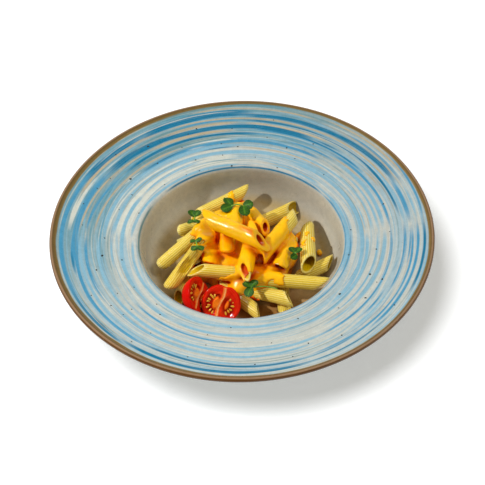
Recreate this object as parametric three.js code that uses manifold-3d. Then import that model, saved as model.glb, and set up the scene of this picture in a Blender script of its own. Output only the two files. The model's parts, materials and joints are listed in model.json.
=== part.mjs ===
// Penne with cheese sauce, cherry tomato halves and microgreens in a wide-rim stoneware plate.
// Millimetres, +Z up. The origin is the centre of the plate's foot, on the table; -Y is the front.
import * as THREE from "three";
import { mergeVertices } from "three/addons/utils/BufferGeometryUtils.js";
import Module from "manifold-3d";

const wasm = await Module();
wasm.setup();

// ---- driving dimensions -------------------------------------------------------------------------
const GAP = 0.35; // clearance between neighbouring solids
const FLOOR_Z = 7.0; // upper face of the well's floor
const FLOOR_R = 56.0; // radius where the floor starts to turn up
const CREST_R = 81.5; // crest between the well and the rim
const CREST_Z = 34.0;
const RIM_R = 140.0; // outer radius of the plate
const RIM_Z = 48.4; // highest point, on the lip
const FOOT_R = 47.0; // middle of the foot ring
const PLATE_SEGMENTS = 50;

const NOODLE_WALL = 1.3; // thickness of a noodle's wall
const NOODLE_SLANT = 1.15; // how far a cut end leans, in mm along for each mm across
const NOODLE_SIDES = 12;

const TOMATO_R = 14.1; // radius of a cherry tomato's cut face
const TOMATO_DEPTH = 12.0; // from the cut face to the back of the half
const LEAF_THICK = 0.8; // thickness in the middle of a leaf
const LEAF_ROOT = 0.8; // how far a leaf runs into its stem
const STEM_R = 0.6;

// ---- helpers --------------------------------------------------------------------------------------
const TAU = Math.PI * 2;
const rad = (degrees) => (degrees * Math.PI) / 180;

// A closed three.js geometry as a manifold solid.
function solid(geometry) {
  const g = geometry.clone();
  g.deleteAttribute("normal");
  g.deleteAttribute("uv");
  const merged = mergeVertices(g, 1e-4);
  const mesh = new wasm.Mesh({
    numProp: 3,
    vertProperties: new Float32Array(merged.attributes.position.array),
    triVerts: new Uint32Array(merged.index.array),
  });
  return new wasm.Manifold(mesh);
}

// A manifold solid as a three.js geometry.
function geometryOf(body) {
  const mesh = body.getMesh();
  const g = new THREE.BufferGeometry();
  g.setAttribute("position", new THREE.BufferAttribute(new Float32Array(mesh.vertProperties), 3));
  g.setIndex(new THREE.BufferAttribute(new Uint32Array(mesh.triVerts), 1));
  return g;
}

// The largest connected body of a solid, with hollows that were sealed by joining left filled.
function mainBody(body) {
  const bodies = body.decompose();
  bodies.sort((a, b) => b.volume() - a.volume());
  return bodies[0];
}

// A profile of [radius, height] pairs turned about +Z.
function turned(profile, segments) {
  const points = profile.map(([r, z]) => new THREE.Vector2(r, z));
  return new THREE.LatheGeometry(points, segments).rotateX(Math.PI / 2);
}

// An ellipsoid, for lumps.
function lump([x, y, z], [a, b, c], across = 12, up = 8) {
  const g = new THREE.SphereGeometry(1, across, up).rotateX(Math.PI / 2);
  return solid(g.scale(a, b, c).translate(x, y, z));
}

// ---- plate ----------------------------------------------------------------------------------------
// The inside of the plate, from the middle of the well out to the top of the lip: a flat floor,
// a steep well wall, a soft crest and a broad rim that rises gently to a rounded lip.
const WELL = [
  [0, FLOOR_Z],
  [FLOOR_R, FLOOR_Z],
  [62.0, 8.2],
  [66.5, 10.8],
  [69.8, 14.6],
  [71.8, 19.0],
  [73.0, 23.6],
  [74.0, 27.8],
  [75.3, 31.2],
  [77.7, 33.2],
  [CREST_R, CREST_Z],
];
const RIM = [
  [90.0, 35.4],
  [108.0, 39.4],
  [131.0, 45.3],
  [135.8, 46.8],
  [138.2, RIM_Z],
];
const LIP = [
  [139.3, 47.9],
  [RIM_R, 46.6],
  [139.7, 45.2],
  [138.8, 44.3],
];
const UNDERSIDE = [
  [134.0, 41.8],
  [104.0, 33.6],
  [84.0, 28.4],
  [79.6, 25.4],
  [77.4, 20.0],
  [75.0, 14.0],
  [71.0, 9.0],
  [65.0, 5.6],
  [56.0, 3.6],
  [FOOT_R + 3.6, 3.0],
  [FOOT_R + 2.4, 0.7],
  [FOOT_R + 1.6, 0],
  [FOOT_R - 1.6, 0],
  [FOOT_R - 2.4, 0.7],
  [FOOT_R - 3.4, 2.6],
  [0, 2.6],
];
const plate = turned([...WELL, ...RIM, ...LIP, ...UNDERSIDE].reverse(), PLATE_SEGMENTS);

// The room that the food may fill: the inside of the well drawn in by the clearance.
function wellRoom() {
  const inner = WELL.map(([r, z], i) => {
    const [r0, z0] = WELL[Math.max(i - 1, 0)];
    const [r1, z1] = WELL[Math.min(i + 1, WELL.length - 1)];
    const length = Math.hypot(r1 - r0, z1 - z0);
    return [Math.max(r - (GAP * (z1 - z0)) / length, 0), z + (GAP * (r1 - r0)) / length];
  });
  return solid(turned([...inner, [CREST_R, 80], [0, 80]], PLATE_SEGMENTS));
}

// ---- noodles --------------------------------------------------------------------------------------
// A penne: a straight ridged tube, both ends cut on the same slant. Each row is its middle, the
// heading of its axis (degrees from +X), its climb, the turn of its slant about its axis, its
// length between the middles of the two cuts, and its outer radius.
const PENNE = [
  // x, y, z, heading, climb, turn, length, radius
  [-17, 47, 21, 30, 4, -30, 45, 5.0], // back, leaning on the well's wall
  [8, 33, 21, -64, 20, 120, 47, 5.1],
  [-27, 30, 18, 30, -10, -135, 45, 5.0],
  [-40, 6, 14, -68, 8, 15, 34, 5.0],
  [-42, 4, 24, 42, 12, -150, 47, 5.1], // left
  [-39, -15, 26, 56, 12, 180, 49, 5.2],
  [-18, -27, 26, -6, -2, -15, 32, 5.3],
  [-43, -30, 13, -112, 2, -150, 23, 4.9],
  [-5, -2, 43, -36, 6, 150, 45, 5.3], // on top
  [-11, 11, 24, -90, 8, 0, 36, 5.0],
  [5, -14, 33, -100, 6, -120, 42, 5.3],
  [26, 1, 31, -120, 8, -75, 46, 5.3],
  [29, 41, 14, 30, 0, -120, 30, 5.0], // back right
  [49, -1, 22, -92, 12, 120, 44, 5.3],
  [51.5, -20, 16.5, 26, 4, -90, 30, 5.1],
  [33, -37, 25, -8, 0, -30, 48, 5.2], // front right
  [17, -44, 19, -36, 22, 105, 41, 5.2],
  [-3, -42, 13, -46, 2, 105, 39, 5.1],
  [29, -42, 13, -88, 2, 0, 28, 5.0],
  [33, -6, 23, -106, 16, -15, 44, 5.3], // middle, under the sauce
  [-21, 5, 18, -100, 12, -15, 40, 5.1],
  [-4, 25, 29, -94, 14, 0, 38, 5.1],
];

function penne([x, y, z, heading, climb, turn, length, radius]) {
  const half = length / 2;
  const bore = radius - NOODLE_WALL;
  const ring = [
    [bore, -half],
    [radius, -half],
    [radius, half],
    [bore, half],
    [bore, -half],
  ];
  const tube = turned(ring, NOODLE_SIDES);
  // the slant leans the tube's rings along its axis, towards local +X
  tube.applyMatrix4(new THREE.Matrix4().makeShear(0, NOODLE_SLANT, 0, 0, 0, 0));
  const axis = new THREE.Vector3(
    Math.cos(rad(heading)) * Math.cos(rad(climb)),
    Math.sin(rad(heading)) * Math.cos(rad(climb)),
    Math.sin(rad(climb)),
  );
  const side = new THREE.Vector3().crossVectors(axis, new THREE.Vector3(0, 0, 1)).normalize();
  const over = new THREE.Vector3().crossVectors(side, axis);
  const tip = over.multiplyScalar(Math.cos(rad(turn))).addScaledVector(side, Math.sin(rad(turn)));
  const third = new THREE.Vector3().crossVectors(axis, tip);
  const place = new THREE.Matrix4().makeBasis(tip, third, axis).setPosition(x, y, z);
  return solid(tube.applyMatrix4(place));
}

// Thick sauce that joins the noodles: the middle of the heap and a few puddled lumps.
const LUMPS = [
  // middle, radii
  [[2, -4, 8], [36, 33, 16]],
  [[-12, 26, 25], [13, 9, 8]],
  [[5, 31, 22], [9, 12, 7]],
  [[-27, 6, 24], [8, 11, 7]],
  [[14, -28, 20], [13, 10, 8]],
  [[-1, -35, 18], [8, 7, 7]],
  [[35, -3, 20], [7, 16, 7]],
  [[-7, -12, 21], [8, 8, 6]],
  [[-27, -5, 24], [4, 4, 4]],
  [[-33, -15, 12], [9, 6, 5]],
  [[-8, 4, 38], [3.2, 3.2, 3.2]],
  [[14, -17, 39], [3.2, 3.2, 3.2]],
  [[10.5, -15, 35], [3.2, 3.2, 3.2]],
  [[13, 33, 15], [4, 4, 4]],
  [[44, 14, 18], [3.2, 3.2, 3.2]],
];

// ---- toppings -------------------------------------------------------------------------------------
// A cherry tomato half: a dome with a flat cut face and two shallow seed chambers in it. It is
// made face up at the origin, and placed by the middle and the normal of its cut face.
function tomatoHalf(middle, normal, turn, grow = 0) {
  const steps = 7;
  const dome = [];
  for (let i = 0; i <= steps; i += 1) {
    const t = (i / steps) * (Math.PI / 2);
    dome.push([(TOMATO_R + grow) * Math.sin(t), -(TOMATO_DEPTH + grow) * Math.cos(t)]);
  }
  dome[0][0] = 0;
  let body = solid(turned([...dome, [TOMATO_R - 0.5, 0.5 + grow], [0, 0.5 + grow]], 22));
  if (grow === 0) {
    for (const s of [-1, 1]) {
      body = body.subtract(lump([s * 6.2, 0, 1.2], [4.0, 9.0, 2.2], 12, 6));
    }
  }
  const place = new THREE.Object3D();
  place.position.set(...middle);
  place.up.set(0, 0, 1);
  const n = new THREE.Vector3(...normal).normalize();
  place.quaternion.setFromUnitVectors(new THREE.Vector3(0, 0, 1), n);
  place.rotateZ(rad(turn));
  place.updateMatrix();
  return body.transform(place.matrix.elements);
}
const TOMATOES = {
  tomato_half_front: [[-16, -53.5, 21], [-0.05, -0.72, 0.7], -8],
  tomato_half_back: [[-31.5, -45.5, 21.3], [0.86, -0.22, 0.45], 0],
};

// A microgreen sprig: round seed leaves on a short stem. A leaf is a thin lens, notched at its
// tip and waved, so that its two faces are divided alike. Each leaf row is the point on the stem
// where it starts, its tip, its width, and how far it leans to one side.
function leaf(base, end, width, lean) {
  const from = new THREE.Vector3(...base);
  const along = new THREE.Vector3(...end).sub(from);
  const length = along.length();
  const g = new THREE.SphereGeometry(1, 10, 4).rotateX(Math.PI / 2);
  const p = g.attributes.position;
  for (let i = 0; i < p.count; i += 1) {
    const u = p.getX(i);
    const v = p.getY(i);
    const notch = 1 - 0.2 * Math.max(0, u) * Math.exp(-14 * v * v);
    const lx = length / 2 + u * notch * (length / 2 + LEAF_ROOT);
    const ly = v * (width / 2) * (1 + 0.18 * u);
    const wave = 0.08 * width * v * v - 0.05 * length * u * u;
    p.setXYZ(i, lx, ly, p.getZ(i) * (LEAF_THICK / 2) + wave);
  }
  along.normalize();
  const side = new THREE.Vector3(0, 0, 1).cross(along).normalize().applyAxisAngle(along, rad(lean));
  const up = new THREE.Vector3().crossVectors(along, side);
  g.applyMatrix4(new THREE.Matrix4().makeBasis(along, side, up).setPosition(...base));
  return solid(g);
}

function stem(points) {
  const circle = new THREE.Shape();
  circle.absarc(0, 0, STEM_R, 0, TAU, false);
  const path = new THREE.CatmullRomCurve3(points.map((q) => new THREE.Vector3(...q)));
  const settings = { steps: points.length, curveSegments: 3, bevelEnabled: false, extrudePath: path };
  return solid(new THREE.ExtrudeGeometry(circle, settings));
}

const SPRIGS = {
  microgreen_left: {
    leaves: [
      [[-35.4, 25.6, 29.8], [-39.4, 31.6, 30.8], 5.6, 10],
      [[-35.4, 25.6, 29.8], [-31.8, 31.2, 30.8], 5.6, -8],
      [[-36.0, 21.4, 29.8], [-40.8, 19.4, 29.2], 4.2, 12],
      [[-36.0, 21.4, 30.2], [-32.4, 15.4, 33.6], 4.4, -6],
    ],
    stem: [[-35.3, 26.2, 29.6], [-35.6, 23.8, 30.0], [-36.1, 20.8, 29.6]],
  },
  microgreen_top: {
    leaves: [
      [[-7.4, 31.8, 34.4], [-11.8, 40.2, 34.6], 7.0, 14],
      [[-7.4, 31.8, 34.4], [-15.0, 26.6, 35.0], 7.0, -10],
      [[1.6, 30.6, 35.2], [9.0, 31.8, 36.0], 7.6, 10],
      [[1.6, 30.6, 35.2], [2.8, 18.2, 37.2], 7.6, -8],
    ],
    stem: [[-8.0, 31.6, 34.2], [-2.8, 32.0, 35.4], [2.2, 30.4, 35.0]],
  },
  microgreen_middle: {
    leaves: [
      [[-33.9, -5.4, 35.6], [-38.2, -4.2, 34.6], 3.8, 8],
      [[-33.9, -5.4, 35.6], [-29.4, -4.0, 36.8], 3.8, -4],
      [[-32.9, -10.6, 35.8], [-36.9, -13.6, 35.0], 4.6, 6],
      [[-32.9, -10.6, 35.8], [-28.4, -14.6, 36.0], 4.8, -8],
    ],
    stem: [[-34.1, -4.8, 35.4], [-33.4, -8.0, 36.0], [-32.8, -11.2, 35.6]],
  },
  microgreen_right: {
    leaves: [
      [[38.4, -16.6, 32.6], [35.2, -11.2, 33.2], 5.6, 16],
      [[38.4, -16.6, 32.6], [43.0, -11.6, 32.6], 5.6, -14],
      [[39.6, -18.2, 32.6], [35.4, -23.4, 34.0], 4.8, -26],
    ],
    stem: [[38.0, -15.8, 32.2], [38.9, -17.2, 32.8], [40.0, -18.8, 32.4]],
  },
  microgreen_front: {
    leaves: [
      [[5.6, -45.8, 29.6], [0.2, -41.4, 30.2], 5.8, 12],
      [[5.6, -45.8, 29.6], [9.8, -40.6, 31.2], 5.8, -12],
      [[5.6, -45.8, 29.6], [2.8, -53.6, 28.4], 6.4, 4],
    ],
    stem: [[5.0, -46.4, 29.4], [10.0, -45.4, 29.6], [17.0, -45.4, 29.4], [24.4, -47.4, 29.2]],
  },
};

function sprig({ leaves, stem: points }) {
  let body = stem(points);
  for (const [base, end, width, lean] of leaves) {
    body = body.add(leaf(base, end, width, lean));
  }
  return body;
}

// ---- the heap -------------------------------------------------------------------------------------
let heap = lump(...LUMPS[0], 16, 8);
for (const [at, radii] of LUMPS.slice(1)) {
  heap = heap.add(lump(at, radii, 8, 6));
}
for (const row of PENNE) {
  heap = heap.add(penne(row));
}
heap = heap.intersect(wellRoom());
for (const [at, normal, turn] of Object.values(TOMATOES)) {
  heap = heap.subtract(tomatoHalf(at, normal, turn, GAP));
}
heap = mainBody(heap);

// ---- the scene ------------------------------------------------------------------------------------
const stoneware = new THREE.MeshStandardMaterial({ color: 0x8fb8cc, roughness: 0.25 });
const cheesePasta = new THREE.MeshStandardMaterial({ color: 0xecc04a, roughness: 0.4 });
const tomatoFlesh = new THREE.MeshStandardMaterial({ color: 0xc81e0c, roughness: 0.2 });
const greens = new THREE.MeshStandardMaterial({ color: 0x2c6426, roughness: 0.5 });

const dish = new THREE.Group();
function add(name, geometry, material) {
  const mesh = new THREE.Mesh(geometry, material.clone());
  mesh.name = name;
  dish.add(mesh);
}
add("plate", plate, stoneware);
add("pasta_heap", geometryOf(heap), cheesePasta);
for (const [name, [at, normal, turn]] of Object.entries(TOMATOES)) {
  add(name, geometryOf(tomatoHalf(at, normal, turn)), tomatoFlesh);
}
for (const [name, shape] of Object.entries(SPRIGS)) {
  add(name, geometryOf(sprig(shape)), greens);
}

export default dish;
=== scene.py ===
import json
import math

import bpy
import numpy as np
from mathutils import Matrix

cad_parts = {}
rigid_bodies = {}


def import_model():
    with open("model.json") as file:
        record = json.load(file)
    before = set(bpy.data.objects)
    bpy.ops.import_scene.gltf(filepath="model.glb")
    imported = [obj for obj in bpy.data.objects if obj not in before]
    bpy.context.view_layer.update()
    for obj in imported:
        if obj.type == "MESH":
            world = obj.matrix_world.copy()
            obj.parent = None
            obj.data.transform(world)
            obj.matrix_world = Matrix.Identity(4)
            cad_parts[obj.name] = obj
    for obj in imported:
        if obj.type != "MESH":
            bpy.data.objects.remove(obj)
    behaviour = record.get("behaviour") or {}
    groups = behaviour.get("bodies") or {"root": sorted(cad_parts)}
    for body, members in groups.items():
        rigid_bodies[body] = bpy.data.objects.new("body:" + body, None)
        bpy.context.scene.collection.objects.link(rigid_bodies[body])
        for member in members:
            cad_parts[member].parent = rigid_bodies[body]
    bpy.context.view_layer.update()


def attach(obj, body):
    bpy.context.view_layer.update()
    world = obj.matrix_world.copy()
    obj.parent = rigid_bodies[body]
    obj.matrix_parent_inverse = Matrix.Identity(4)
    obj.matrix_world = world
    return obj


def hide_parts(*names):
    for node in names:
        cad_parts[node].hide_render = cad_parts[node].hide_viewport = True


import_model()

# ---------------------------------------------------------------------------
# THE PLATE
# A wide-rimmed bowl plate of thrown stoneware. The sloping rim is painted under the glaze with rings of
# blue brush strokes, the edge and the bowl are left in the warm clay glaze, and the foot ring is bare clay.
# The outline in four stretches, each point a radius and a height (mm), and the number of points round.
# ---------------------------------------------------------------------------

BOWL = [(0, 7), (30, 7), (50, 7), (56, 7.05), (62, 8.2), (66.5, 10.8), (69.8, 14.6), (71.8, 19), (73, 23.6),
        (74, 27.8), (75.3, 31.2), (77.7, 33.2), (81.5, 34)]
RIM = [(90, 35.4), (108, 39.4), (131, 45.3), (135.8, 46.9), (138.1, 48.2)]
EDGE = [(139.3, 47.8), (139.95, 46.6), (139.6, 45.2), (138.6, 44.2)]
BELOW = [(134, 41.8), (104, 33.6), (84, 28.4), (79.6, 25.4), (77.4, 20), (75, 14), (71, 9), (65, 5.6),
         (56, 3.6), (50.6, 3), (49.4, 0.8), (48.4, 0), (45.6, 0), (44.6, 0.8), (43.6, 2.6), (38, 2.6),
         (0, 2.6)]
ROUND = 312


def curve_through(corners, spacing):
    """A smooth curve through the corners: on each stretch a cubic whose slope at a corner is the mean of the
    slopes of the two stretches that meet there, the shorter counting more. Stepped about every spacing."""
    corners = np.array(corners, float)
    length = np.linalg.norm(corners[1:] - corners[:-1], axis=1)
    slope = (corners[1:] - corners[:-1]) / length[:, None]
    tangent = np.vstack([slope[:1], slope])
    share = length[1:] / (length[1:] + length[:-1])
    tangent[1:-1] = share[:, None] * slope[:-1] + (1 - share[:, None]) * slope[1:]
    steps = np.maximum(1, np.ceil(length / spacing)).astype(int)
    part = np.repeat(np.arange(len(length)), steps)
    t = ((np.arange(len(part)) - np.repeat(np.cumsum(steps) - steps, steps)) / steps[part])[:, None]
    reach = length[part][:, None]
    bend = (t ** 3 - 2 * t ** 2 + t) * reach * tangent[part] + (t ** 3 - t ** 2) * reach * tangent[part + 1]
    hold = (2 * t ** 3 - 3 * t ** 2 + 1) * corners[part] + (3 * t ** 2 - 2 * t ** 3) * corners[part + 1]
    return np.vstack([hold + bend, corners[-1:]])


def linear(code):
    """A colour written as six hex digits, as the three linear-light values that a shader takes."""
    value = np.array([int(code[i:i + 2], 16) for i in (0, 2, 4)]) / 255
    return np.where(value <= 0.04045, value / 12.92, ((value + 0.055) / 1.055) ** 2.4)


def rgb(red, green, blue):
    """A colour given in linear light."""
    return np.array([red, green, blue])


def step(low, high, value):
    """0 below low, 1 above high, and an S-shaped rise between."""
    t = np.clip((value - low) / (high - low), 0, 1)
    return t * t * (3 - 2 * t)


def painted(under, colour, share):
    """A colour laid over what is under it, by a share between 0 and 1 at each point."""
    return under + (colour - under) * np.clip(share, 0, 1)[..., None]


def make_piece(name, points, *faces, colour=None):
    """Puts points in mm and arrays of three- or four-cornered faces into a mesh in metres, smooth shaded."""
    mesh = bpy.data.meshes.new(name)
    corners = np.concatenate([np.asarray(f).ravel() for f in faces]).astype(np.int32)
    sizes = np.concatenate([np.full(len(f), np.shape(f)[1]) for f in faces])
    mesh.vertices.add(len(points))
    mesh.vertices.foreach_set("co", (np.asarray(points) * 0.001).astype(np.float32).ravel())
    mesh.loops.add(len(corners))
    mesh.loops.foreach_set("vertex_index", corners)
    mesh.polygons.add(len(sizes))
    mesh.polygons.foreach_set("loop_start", (np.cumsum(sizes) - sizes).astype(np.int32))
    mesh.update(calc_edges=True)
    mesh.polygons.foreach_set("use_smooth", np.ones(len(sizes), bool))
    if colour is not None:
        layer = mesh.color_attributes.new("tint", "FLOAT_COLOR", "POINT")
        opaque = np.column_stack([colour, np.ones(len(points))]).astype(np.float32)
        layer.data.foreach_set("color", opaque.ravel())
    piece = bpy.data.objects.new(name, mesh)
    bpy.context.collection.objects.link(piece)
    return piece


def node(tree, kind, inputs, **options):
    """Adds a shader node, sets its options, and fills its sockets with numbers or other nodes' outputs."""
    made = tree.nodes.new("ShaderNode" + kind)
    for key, value in options.items():
        setattr(made, key, value)
    for key, value in inputs.items():
        if isinstance(value, bpy.types.NodeSocket):
            tree.links.new(value, made.inputs[key])
        else:
            made.inputs[key].default_value = value
    return made.outputs


def clouds(tree, where, scale, detail, roughness=0.55):
    """Soft cloudy noise, scale in lumps per metre."""
    inputs = {"Vector": where, "Scale": scale, "Detail": detail, "Roughness": roughness}
    return node(tree, "TexNoise", inputs)["Fac"]


def ramp(tree, value, *stops):
    """A colour ramp between two stops, each a place and a colour or a grey value."""
    made = tree.nodes.new("ShaderNodeValToRGB")
    for element, (place, shade) in zip(made.color_ramp.elements, stops):
        element.position = place
        element.color = (*np.broadcast_to(shade, 3), 1)
    tree.links.new(value, made.inputs["Fac"])
    return made.outputs["Color"]


def new_finish(name, tones, gloss=None, relief=None, tinted=True, **sockets):
    """A material with one Principled shader, whose own sockets take the given numbers. Its colour is the
    mesh's tint multiplied by the tones. Each tone is the scale and detail of a noise, two stops of a ramp and
    a share. The gloss is the roughness, given as such a row. The relief is the scale, detail and roughness of
    a noise, the depth in metres and the strength."""
    finish = bpy.data.materials.new(name)
    finish.use_nodes = True
    tree = finish.node_tree
    shader = tree.nodes["Principled BSDF"]
    for key, value in sockets.items():
        shader.inputs[key.replace("_", " ")].default_value = value
    where = node(tree, "TexCoord", {})["Object"]
    colour = node(tree, "Attribute", {}, attribute_name="tint")["Color"] if tinted else None
    for scale, detail, low, high, share in tones:
        tone = ramp(tree, clouds(tree, where, scale, detail), low, high)
        if colour is not None:
            inputs = {0: share, 6: colour, 7: tone}
            tone = node(tree, "Mix", inputs, data_type="RGBA", blend_type="MULTIPLY")[2]
        colour = tone
    tree.links.new(colour, shader.inputs["Base Color"])
    if gloss:
        tree.links.new(ramp(tree, clouds(tree, where, *gloss[:2]), *gloss[2:]), shader.inputs["Roughness"])
    if relief:
        inputs = {"Height": clouds(tree, where, *relief[:3]), "Distance": relief[3], "Strength": relief[4]}
        tree.links.new(node(tree, "Bump", inputs)["Normal"], shader.inputs["Normal"])
    return finish


plate_corners = BOWL + RIM + EDGE + BELOW
edge_top = len(BOWL) + len(RIM)
corner_spacing = np.full(len(plate_corners) - 1, 3.0)
corner_spacing[:edge_top + 2] = 0.46
corner_spacing[:len(BOWL) - 4] = 1.7
corner_spacing[edge_top + 2:edge_top + 6] = 1.2
plate_curve = curve_through(plate_corners, corner_spacing)
plate_curve[:, 1] = np.maximum(plate_curve[:, 1], 0)
plate_rows = plate_curve[1:-1]
turn = np.radians(np.arange(ROUND) * 360 / ROUND)

# the curve turned round Z: x = r cos, y = r sin, with one point at each pole
ring_points = np.stack([plate_rows[:, :1] * np.cos(turn), plate_rows[:, :1] * np.sin(turn),
                        plate_rows[:, 1:] + 0 * turn], -1)
plate_points = np.vstack([ring_points.reshape(-1, 3), [0, 0, 7], [0, 0, 2.6]])


def grid_faces(rows, columns, wrap=True):
    """Faces of a grid of points, row by row. The normal is the row direction crossed with the columns'."""
    index = np.arange(rows * columns).reshape(rows, columns)
    ahead = np.roll(index, -1, 1)
    here, last = (index, ahead) if wrap else (index[:, :-1], index[:, 1:])
    return np.stack([here[:-1], here[1:], last[1:], last[:-1]], -1).reshape(-1, 4)


def closed_faces(rows, columns, bodies=1):
    """Faces of round bodies one after the other, each a grid of points and then a pole for its first row and
    one for its last: four-cornered faces along the grid, and triangles from the poles."""
    first = np.arange(columns)
    last = first + (rows - 1) * columns
    pole = np.full(columns, rows * columns)
    caps = np.vstack([np.stack([pole, first, np.roll(first, -1)], -1),
                      np.stack([pole + 1, np.roll(last, -1), last], -1)])
    start = (rows * columns + 2) * np.arange(bodies)[:, None, None]
    return (grid_faces(rows, columns) + start).reshape(-1, 4), (caps + start).reshape(-1, 3)


count = len(plate_rows)

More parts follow.
